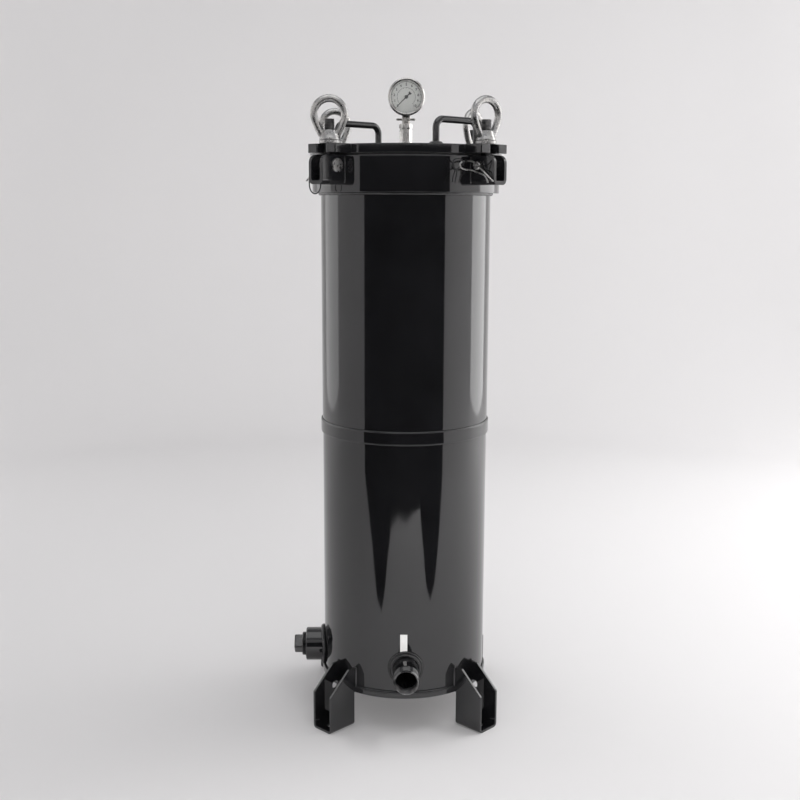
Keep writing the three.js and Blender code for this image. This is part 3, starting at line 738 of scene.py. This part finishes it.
def make_plug():
    place = side_frame(180, DRAIN_Z)
    stem = thread(COUPLING_BORE - 0.4, PLUG_THREAD_START, PLUG_THREAD_END, 1.0, PIPE_PITCH, 72)
    head = eased(square(PLUG_FLATS / 2), 3.2)
    crowned = []
    for x, share in ((205, 1.0), (PLUG_TIP - 2.2, 1.0), (PLUG_TIP - 0.8, 0.965), (PLUG_TIP, 0.90)):
        crowned.append([(x, (a - b) * share / math.sqrt(2), (a + b) * share / math.sqrt(2)) for a, b in head])
    piece("plug", joined(moved(stem, along("x")), skin(crowned)), body="drain_plug", place=place,
          replaces=["drain_plug"], smooth=32)


# ---- Legs and brackets, bent from plate ----
def bent_channel(width, wall, bend, low, high, reach):
    """A channel that is open at the top and runs out along X."""
    half = width / 2
    inner = bend - wall
    section = [(-half, high)]
    section += arc(-half + bend, low + bend, bend, 180, 270)
    section += arc(half - bend, low + bend, bend, 270, 360)
    section += [(half, high), (half - wall, high)]
    section += arc(half - bend, low + bend, inner, 0, -90)
    section += arc(-half + bend, low + bend, inner, -90, -180)
    section += [(-half + wall, high)]
    return skin([[(x, y, z) for y, z in section] for x in (140, reach)])


def hole_along_y(r, x, z, y=0, reach=60):
    bar = turned([(0, -reach), (r, -reach), (r, reach), (0, reach)], 40)
    return moved(bar, Matrix.Translation((x, y, z)) @ along("y"))


def side_welds(r, half, low, high, size, seed):
    """A bead up each side of a channel, where it meets the vessel."""
    x = math.sqrt(r ** 2 - half ** 2)
    return joined(*(weld([(x, t * (half + 0.4), z) for z in range(low, high)], size, seed=t + seed)
                    for t in (-1, 1)))


HOLE_SIDE = {"front_right": 1, "front_left": -1, "rear_left": 1, "rear_right": -1}


def make_legs():
    inner, heel, top = 150, 164, 117
    side = [(heel, -1), (LEG_REACH, -1), (LEG_REACH, 74), (178, top), (inner, top), (inner, BASE_LOW),
            (heel, BASE_LOW)]
    shell = turned([(0, BASE_LOW), (LOWER_R, BASE_LOW), (LOWER_R, 300), (0, 300)])
    drill = turned([(0, -9), (FOOT_HOLE_R, -9), (FOOT_HOLE_R, 15), (0, 15)], 40)
    foot_hole = moved(drill, Matrix.Translation((FOOT_HOLE_AT, 0, 0)))
    for corner in CORNERS:
        place = at_corner(corner)
        bent = bent_channel(LEG_W, LEG_WALL, LEG_BEND, 0, 130, 240)
        leg = to_object("channel_leg_" + corner, bent, place)
        side_hole = hole_along_y(SIDE_HOLE_R, SIDE_HOLE_AT, SIDE_HOLE_Z, HOLE_SIDE[corner] * LEG_W / 2, 10)
        carve(leg, upright_slab(side, LEG_W + 10), place, "INTERSECT")
        carve(leg, shell)
        carve(leg, side_hole, place)
        carve(leg, foot_hole, place)
        settle(leg, "root", PAINT, ["leg_" + corner], bevel=0.55, smooth=30)
        beads = side_welds(LOWER_R + 1, LEG_W / 2, 78, top, 3.0, CORNERS[corner])
        piece("weld_leg_" + corner, beads, WELD_PAINT, place=place)


def make_brackets():
    low, high, soft = BRACKET_LOW, BRACKET_HIGH, BRACKET_ROUND
    side = [(150, low - 1), (BRACKET_REACH, low - 1)]
    side += arc(BRACKET_REACH - soft, high - soft, soft, 0, 90, 10)
    side += [(150, high)]
    collar = turned([(0, low - 5), (COLLAR_R, low - 5), (COLLAR_R, high + 5), (0, high + 5)])
    for corner in CORNERS:
        place = at_corner(corner)
        bent = bent_channel(BRACKET_W, BRACKET_WALL, BRACKET_BEND, low, high + 10, 240)
        made = to_object("bracket_" + corner, bent, place)
        carve(made, upright_slab(side, BRACKET_W + 10), place, "INTERSECT")
        carve(made, collar)
        carve(made, hole_along_y(PIN_HOLE_R, BOLT_R, PIVOT_Z), place)
        settle(made, "root", PAINT, ["clevis_bracket_" + corner], bevel=0.7, smooth=30)
        beads = side_welds(COLLAR_R + 0.6, BRACKET_W / 2, low + 5, high - 2, 2.7, -CORNERS[corner])
        piece("weld_bracket_" + corner, beads, WELD_PAINT, place=place)


# ---- Closures ----
AT_BOLT = Matrix.Translation((BOLT_R, 0, 0))


def make_swing_bolt(corner):
    place = at_corner(corner)
    stud = moved(thread(STUD_R, STUD_LOW, BOLT_TOP), AT_BOLT)
    r, high = STUD_R - 0.2, STUD_LOW + 0.4
    bar = turned([(0, SHANK_LOW), (r, SHANK_LOW), (r, high), (0, high)], 40)
    shank = moved(bar, AT_BOLT)
    eye = [(PIN_HOLE_R, -STUD_R), (17, -STUD_R), (17, STUD_R), (PIN_HOLE_R, STUD_R)]
    ring = moved(turned(eye, 56, ease=2.2), Matrix.Translation((BOLT_R, 0, PIVOT_Z)) @ along("y"))
    piece("bolt_" + corner, joined(stud, shank, ring), STUD, "swing_bolt_" + corner, place,
          ["swing_bolt_" + corner], smooth=50)


def make_washer(corner):
    profile = [(WASHER_BORE, WASHER_LOW), (WASHER_R, WASHER_LOW), (WASHER_R, WASHER_TOP),
               (WASHER_BORE, WASHER_TOP)]
    shape = moved(turned(profile, 64, ease=0.9), AT_BOLT)
    piece("flat_washer_" + corner, shape, ZINC, "washer_" + corner, at_corner(corner),
          ["washer_" + corner])


def eye_outline():
    """The middle line of the eye: a round top, and straight legs that run in to the base."""
    centre = EYE_TOP - 6.2 - EYE_BOW_R
    foot = (13.2, WASHER_TOP + 9)
    sweep = math.pi / 2 + math.radians(EYE_LEAN) * 0.6
    right = []
    for i in range(11):
        a = math.pi / 2 - sweep * i / 10
        right.append((EYE_BOW_R * math.cos(a), centre + EYE_BOW_R * math.sin(a)))
    right += [(20.6, centre - 22), foot]
    left = [(-x, z) for x, z in right[1:]]
    return left[::-1] + right


EYE_YAW = {"front_right": 33, "front_left": 5, "rear_left": 16, "rear_right": 54}


def make_eye_nut(corner):
    base = WASHER_TOP + 0.3
    cone = [(10.2, base), (17.7, base), (17.9, base + 1.6), (17.2, base + 3.6), (15.2, base + 8),
            (12.6, base + 15.6), (12.2, base + 17.6), (10.2, base + 17.6)]
    turn = Matrix.Rotation(math.radians(EYE_YAW[corner] - CORNERS[corner]), 4, "Z")
    place = at_corner(corner) @ AT_BOLT @ turn
    nut = to_object("lifting_eye_" + corner, turned(cone, 56, ease=0.8), place)
    bow = smoothed([(x, 0, z) for x, z in eye_outline()], 1.6)
    carve(nut, swept(bow, EYE_BAR_R, 20), place, "UNION")
    modifier(nut, "REMESH", mode="VOXEL", voxel_size=0.85 * MM, use_smooth_shade=True)
    modifier(nut, "SMOOTH", factor=0.5, iterations=5)
    apply_modifiers(nut)
    bore = turned([(0, base - 5), (10.0, base - 5), (10.0, base + 34), (0, base + 34)], 48)
    carve(nut, bore, place)
    settle(nut, "eye_nut_" + corner, ZINC, ["eye_nut_" + corner], smooth=60)


def make_pin(corner):
    outer = BRACKET_W / 2
    profile = [(0, -outer - 9), (6.6, -outer - 9), (PIN_R, -outer - 7.4), (PIN_R, outer + 0.2),
               (12.5, outer + 0.3), (12.5, outer + 3.4), (11.6, outer + 4.3), (0, outer + 4.3)]
    shape = moved(turned(profile, 56, ease=0.5), Matrix.Translation((BOLT_R, 0, PIVOT_Z)) @ along("y"))
    pin = to_object("pin_" + corner, shape, at_corner(corner))
    settle(pin, "root", ZINC, ["clevis_pin_" + corner])


# The clip's middle line: u runs down its straight leg, t along the pin, v across the leg and up.
CLIP_LINE = [
    (44.5, -22.5, 0), (24, -22.5, 0), (0, -22.5, 0), (-9, -22.5, 0), (-13, -26.5, -0.6), (-14.4, -34, -1.6),
    (-14.4, -44, -2.4), (-13, -51.5, -4.2), (-9.6, -55.8, -7.7), (-6.2, -52.5, -11), (-4.8, -44.5, -12.4),
    (-4.2, -35, -12.8), (-3.2, -27.5, -12.4), (1.5, -22.5, -11.4), (7, -22.5, -10), (13, -22.5, -7.6),
    (19, -22.5, -5.2), (26, -22.5, -4.2), (37, -22.5, -8),
]


def make_clip(corner):
    lean = Matrix.Translation((BOLT_R, 0, PIVOT_Z)) @ Matrix.Rotation(math.radians(CLIP_TILT), 4, "Y")
    wire = swept(smoothed(CLIP_LINE, 1.0), CLIP_WIRE_R, 14, round_ends=True)
    piece("retaining_clip_" + corner, moved(wire, lean), ZINC, place=at_corner(corner),
          replaces=["hairpin_clip_" + corner])


# ---- Lid ----
def lid_outline():
    made = []
    half, slot = EAR_W / 2, SLOT_W / 2
    disc_r = radius_of("lid_plate")
    meet = math.degrees(math.asin(half / disc_r))
    soft = EAR_SOFT
    for turn in (-45, 45, 135, 225):
        ear = [(disc_r * math.cos(math.radians(meet)), -half)]
        ear += arc(EAR_R - soft, -half + soft, soft, -90, 0, 4)
        ear += arc(EAR_R - soft, -slot - soft, soft, 0, 90, 4)
        ear += arc(BOLT_R, 0, slot, 270, 90, 20)
        ear += arc(EAR_R - soft, slot + soft, soft, -90, 0, 4)
        ear += arc(EAR_R - soft, half - soft, soft, 0, 90, 4)
        ear.append((ear[0][0], half))
        spin = Matrix.Rotation(math.radians(turn), 2)
        made += [tuple(spin @ Vector(p)) for p in ear]
        made += arc(0, 0, disc_r, turn + meet, turn + 90 - meet, 40)[1:-1]
    return made


def make_lid():
    lid = to_object("lid", prism(lid_outline(), LID_LOW, LID_TOP))
    carve(lid, turned([(0, LID_LOW - 9), (VENT_R, LID_LOW - 9), (VENT_R, LID_TOP + 9), (0, LID_TOP + 9)], 32))
    settle(lid, "root", PAINT, ["lid_plate"], bevel=1.3, smooth=30)


def make_handle(name, side):
    (ax, ay), (bx, by) = [(x * side, y * side) for x, y in HANDLE_FEET]
    length = math.hypot(bx - ax, by - ay)
    foot, bar, r = LID_TOP - 1, LID_TOP + HANDLE_RISE, HANDLE_BEND
    flat = [(0, foot), (0, bar - r)]
    flat += arc(r, bar - r, r, 180, 90, 10)[1:]
    flat += arc(length - r, bar - r, r, 90, 0, 10)
    flat += [(length, foot)]
    path = [Vector((ax + (bx - ax) * s / length, ay + (by - ay) * s / length, z)) for s, z in flat]
    piece("handle_" + name, swept(evenly(path, 1.5), HANDLE_R, 24), replaces=["lid_handle_" + name])
    beads = []
    for x, y in ((ax, ay), (bx, by)):
        ring = [Vector(p) + Vector((x, y, 0)) for p in circle(HANDLE_R + 2, LID_TOP + 2.6, 90)]
        beads.append(weld(ring, 4.4, True, x))
    piece("weld_handle_" + name, joined(*beads), WELD_PAINT)


# ---- Gauge ----
def make_gauge_fittings():
    low = LID_TOP + 0.3
    riser = joined(hexagon(24, low, low + 11.5, 1.6), hexagon(21.2, low + 9.7, RISER_TOP, 1.0))
    piece("riser", riser, STAINLESS, replaces=["gauge_riser"], smooth=25)
    low = RISER_TOP
    spigot = turned([(0, low - 4.2), (6.2, low - 4.2), (6.2, low + 0.8), (0, low + 0.8)], 32)
    bush = joined(hexagon(22.6, low + 0.3, BUSHING_TOP, 1.3), spigot)
    piece("bushing", bush, STAINLESS, replaces=["gauge_bushing"], smooth=25)

    low, high = BUSHING_TOP, COCK_TOP
    neck = turned([(0, low + 0.3), (7.4, low + 0.3), (7.4, low + 2), (6.5, low + 2.6), (7.4, low + 3.3),
                   (7.4, low + 6), (0, low + 6)], 40)
    block = skin([[(x * s, y * s * 0.96, z) for x, y in eased(square(7.8), 1.6)]
                  for z, s in ((high - 9, 0.9), (high - 8.2, 1), (high - 0.8, 1), (high, 0.9))])
    boss = moved(turned([(0, 6), (4.4, 6), (4.4, 13.2), (0, 13.2)], 32, ease=0.4),
                 Matrix.Translation((0, 0, TEE_Z)) @ along("y"))
    piece("cock", joined(neck, block, boss), CAST, replaces=["gauge_cock_body"], smooth=35)

    bar_r, reach, bar_y = 2.25, 17.5, 15.8
    ends = [Vector((x, bar_y, TEE_Z)) for x in (-reach + 1.4, -9, 0, 9, reach - 1.4)]
    sizes = (bar_r, bar_r * 0.86, bar_r, bar_r * 0.86, bar_r)
    bar = swept(ends, lambda i: sizes[i], 20, round_ends=True)
    spindle = moved(turned([(0, 8), (2.4, 8), (2.4, bar_y), (0, bar_y)], 24),
                    Matrix.Translation((0, 0, TEE_Z)) @ along("y"))
    piece("cock_tee", joined(bar, spindle), CAST, "gauge_cock_handle",
          replaces=["gauge_cock_handle"])


GAUGE_FRAME = HOUSING @ Matrix.Translation((0, 0, GAUGE_Z)) @ along("y")


def make_gauge():
    case = [(0, -14), (31.6, -14), (31.6, -22), (33.2, -22), (33.2, 4), (30.4, 8), (0, 8)]
    piece("case", turned(case, 128, ease=0.8), STAINLESS, place=GAUGE_FRAME,
          replaces=["gauge_case"])
    stem = joined(
        turned([(0, COCK_TOP - 0.5), (4, COCK_TOP - 0.5), (4, GAUGE_Z - 26), (0, GAUGE_Z - 26)], 32),
        prism(eased(square(7), 1.0), COCK_TOP + 0.3, GAUGE_Z - 31),
    )
    piece("stem", stem, CAST, smooth=35)
    front = GAUGE_FRONT
    mouth = GAUGE_R - 5.2
    bezel = [(mouth, front + 1.6), (mouth + 1.4, front + 0.3), (GAUGE_R - 2.2, front),
             (GAUGE_R, front + 2.4), (GAUGE_R, -17), (33.4, -17), (33.4, -26.2), (mouth, -26.2)]
    piece("bezel_ring", turned(bezel, 160, ease=0.9), STAINLESS, place=GAUGE_FRAME,
          replaces=["gauge_bezel"])
    lens = [(0, -25.9), (33.1, -25.9), (33.1, -23.5), (0, -23.5)]
    piece("window", turned(lens, 128, ease=0.3), LENS, place=GAUGE_FRAME, replaces=["gauge_lens"])
    dial = [(0, -15.7), (31.2, -15.7), (31.2, -14.3), (0, -14.3)]
    piece("dial_face", turned(dial, 128), DIAL, place=GAUGE_FRAME, replaces=["gauge_dial"])


def on_dial(r, degrees):
    """A point on the dial's face, its angle clockwise from the top."""
    a = math.radians(degrees)
    return Vector((AXIS.x + r * math.sin(a), DIAL_Y, GAUGE_Z + r * math.cos(a)))


def mark(r0, r1, degrees, width):
    """A tick of ink on the dial."""
    a = math.radians(degrees)
    aside = Vector((math.cos(a), 0, -math.sin(a))) * width / 2
    low, high = on_dial(r0, degrees), on_dial(r1, degrees)
    front = [low - aside, low + aside, high + aside, high - aside]
    return skin([front, [p + Vector((0, DIAL_INK, 0)) for p in front]])


def ring_mark(r, width, steps=90):
    """An arc of ink over the whole scale."""
    loops = []
    for i in range(steps + 1):
        degrees = SWEEP_START + SWEEP * i / steps
        inner, outer = on_dial(r - width / 2, degrees), on_dial(r + width / 2, degrees)
        back = Vector((0, DIAL_INK, 0))
        loops.append([inner, outer, outer + back, inner + back])
    return skin(loops)


def make_dial_print():
    ticks = [ring_mark(28.2, 0.5), ring_mark(17.2, 0.45)]
    for i in range(51):
        whole = i % 5 == 0
        ticks.append(mark(26.2 if whole else 27, 28.2, SWEEP_START + SWEEP * i / 50, 0.9 if whole else 0.35))
    for i in range(15):
        ticks.append(mark(15.8, 17.2, SWEEP_START + SWEEP * i / 14, 0.5))
    piece("dial_scale", joined(*ticks), PRINT, place=Matrix.Identity(4), smooth=30)

    for i in range(11):
        word = bpy.data.curves.new("numeral", "FONT")
        word.body = str(i)
        word.size = 6.4 * MM
        word.extrude = 0.03 * MM
        word.offset = 0.12 * MM
        word.align_x, word.align_y = "CENTER", "CENTER"
        word.resolution_u = 3
        made = bpy.data.objects.new(f"numeral_{i}", word)
        bpy.context.scene.collection.objects.link(made)
        bpy.context.view_layer.update()
        mesh = bpy.data.meshes.new_from_object(made)
        bpy.data.objects.remove(made)
        mesh.transform(Matrix.Translation(on_dial(22.6, SWEEP_START + SWEEP * i / 10) * MM)
                       @ Matrix.Rotation(math.pi / 2, 4, "X"))
        made = bpy.data.objects.new(f"dial_numeral_{i}", mesh)
        bpy.context.scene.collection.objects.link(made)
        settle(made, "root", PRINT, smooth=30)


def make_pointer():
    needle = [(-0.35, 25), (0.35, 25), (0.95, 2), (1.0, -7), (2.9, -9), (2.9, -11.2), (-2.9, -11.2),
              (-2.9, -9), (-1.0, -7), (-0.95, 2)]
    blade = moved(upright_slab(needle, 0.8), Matrix.Translation((0, -19, GAUGE_Z))
                  @ Matrix.Rotation(math.radians(SWEEP_START), 4, "Y"))
    knob = [(0, -20.6), (2.2, -20.6), (3.3, -19.8), (3.3, -18), (1.1, -18), (1.1, -14.4), (0, -14.4)]
    hub = moved(turned(knob, 40, ease=0.2), Matrix.Translation((0, 0, GAUGE_Z)) @ along("y"))
    piece("needle", joined(blade, hub), POINTER, "gauge_pointer", replaces=["gauge_pointer"],
          smooth=30)


# ---- Label: a blank strip of tape on the shell over the inlet ----
def make_label():
    wide, low, high = 13.6, 152, 195
    middle_angle = -90 - 1.4
    loops = []
    for i in range(9):
        angle = math.radians(middle_angle + math.degrees(wide / LOWER_R) * (i / 8 - 0.5))
        loops.append([(r * math.cos(angle), r * math.sin(angle), z)
                      for r, z in ((LOWER_R + 0.02, low), (LOWER_R + 0.22, low), (LOWER_R + 0.22, high),
                                   (LOWER_R + 0.02, high))])
    piece("label_tape", skin(loops), TAPE, smooth=30)


# ---- Inside: the CAD nodes keep their shape and get a finish ----
def dress(node, material, bevel=0.4):
    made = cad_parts[node]
    made.data.materials.clear()
    made.data.materials.append(material)
    modifier(made, "WELD", merge_threshold=1e-5)
    modifier(made, "BEVEL", width=bevel * MM, segments=2, limit_method="ANGLE", angle_limit=math.radians(38))


def dress_inside():
    dress("lid_gasket", RUBBER, 0.3)
    dress("outlet_standpipe", STAINLESS, 0.8)
    dress("cartridge_lower_cap", PLASTIC, 1.2)
    dress("cartridge_upper_cap", PLASTIC, 1.2)
    dress("cartridge_element", PAPER, 0.5)
    dress("hold_down_plate", STAINLESS, 0.8)
    dress("hold_down_spring", STAINLESS, 0.05)


make_shells()
make_band()
make_collar()
make_base()
make_ports()
make_plug()
make_legs()
make_brackets()
for corner in CORNERS:
    make_swing_bolt(corner)
    make_washer(corner)
    make_eye_nut(corner)
    make_pin(corner)
    make_clip(corner)
make_lid()
make_handle("front", 1)
make_handle("rear", -1)
make_gauge_fittings()
make_gauge()
make_dial_print()
make_pointer()
make_label()
dress_inside()


# ---- Stage ----
def plain(name, colour, roughness, specular):
    made, _, bsdf = shader(name)
    preset(bsdf, {"Base Color": (*colour, 1), "Roughness": roughness, "Specular IOR Level": specular})
    return made


def stage_piece(name, shape, material):
    made = to_object(name, shape, Matrix.Identity(4))
    made.data.shade_smooth()
    made.data.materials.append(material)
    return made


def make_cove():
    """A round pale floor that sweeps up to a wall."""
    flat, sweep, height = 2600, 900, 3800
    outline = [(r, 0) for r in (10, 400, 900, 1500, flat)]
    outline += [(flat + sweep * math.sin(a), sweep - sweep * math.cos(a))
                for a in (math.pi / 2 * i / 16 for i in range(1, 17))]
    outline.append((flat + sweep, height))
    loops = [circle(r, z, 96) for r, z in outline]
    points, faces = skin(loops)
    stage_piece("cove", (points, faces[:-1]), plain("pale_paper", (0.80, 0.79, 0.79), 0.75, 0.15))


def make_flags():
    """Dark flags in front, which only show as the dark stripe in the paint's gloss."""
    black = plain("black_flag", (0.004, 0.004, 0.004), 1.0, 0.0)
    left, right, far, flag_height = -60.8, 53.0, 2150, 1235
    # Where the flags start on the floor: (degrees from the front, metres from the shell).
    reach = [(-60.8, 2.15), (-55, 1.6), (-50, 1.2), (-44, 0.75), (-38, 0.66), (-33, 0.78), (-28, 1.05),
             (-22, 1.4), (-12, 1.5), (0, 1.45), (10, 1.55), (20, 1.62), (26, 1.15), (31, 0.85), (38, 0.74),
             (44, 0.88), (49, 1.3), (53, 2.15)]
    near = Vector((AXIS.x, -SHELL_R, 3))

    def spot(degrees, away, z):
        a = math.radians(degrees + 1.2)
        return near + Vector((math.sin(a) * away, -math.cos(a) * away, z))

    edge = [spot(a, d * 1000, 0) for a, d in reach]
    rim = [spot(left + (right - left) * i / (len(reach) - 1), far + 10, 0) for i in range(len(reach))]
    top = [p + Vector((0, 0, flag_height)) for p in rim]
    points = edge + rim + top
    count = len(edge)
    faces = []
    for i in range(count - 1):
        for row in (0, count):
            faces.append([row + i, row + i + 1, row + count + i + 1, row + count + i])
    flag = stage_piece("front_flag", (points, faces), black)
    flag.visible_camera = False
    flag.visible_diffuse = False
    flag.visible_shadow = False
    flag.visible_transmission = False


def area_light(name, place, target, size, power, tall=None, gloss=True):
    data = bpy.data.lights.new(name, "AREA")
    data.shape = "RECTANGLE"
    data.size, data.size_y = size, tall or size
    data.energy = power
    made = bpy.data.objects.new(name, data)
    bpy.context.scene.collection.objects.link(made)
    place = Vector(place)
    aim = (Vector(target) - place).to_track_quat("-Z", "Y").to_matrix().to_4x4()
    made.matrix_world = Matrix.Translation(place) @ aim
    made.visible_camera = False
    made.visible_glossy = gloss


def make_lights():
    world = bpy.data.worlds.new("studio")
    world.use_nodes = True
    preset(world.node_tree.nodes["Background"], {"Color": (0.96, 0.97, 1.0, 1), "Strength": 0.4})
    bpy.context.scene.world = world
    area_light("left_box", (-2.5, 1.45, 1.4), (0, 0, 1.2), 1.9, 13, 3.0)
    area_light("right_box", (2.58, 1.25, 1.4), (0, 0, 1.2), 1.9, 30, 3.0)
    area_light("top_box", (0.2, -0.4, 3.3), (0.2, 0, 0), 2.6, 18, 2.6)
    area_light("wall_wash", (1.7, 0.1, 2.8), (3.5, 0.9, 0.8), 1.0, 46, 1.0, gloss=False)
    area_light("front_fill", (0.3, -2.6, 0.6), (0, 0, 0), 2.4, 31, 1.2, gloss=False)


make_cove()
make_flags()
make_lights()
bpy.context.scene.view_settings.view_transform = "Standard"
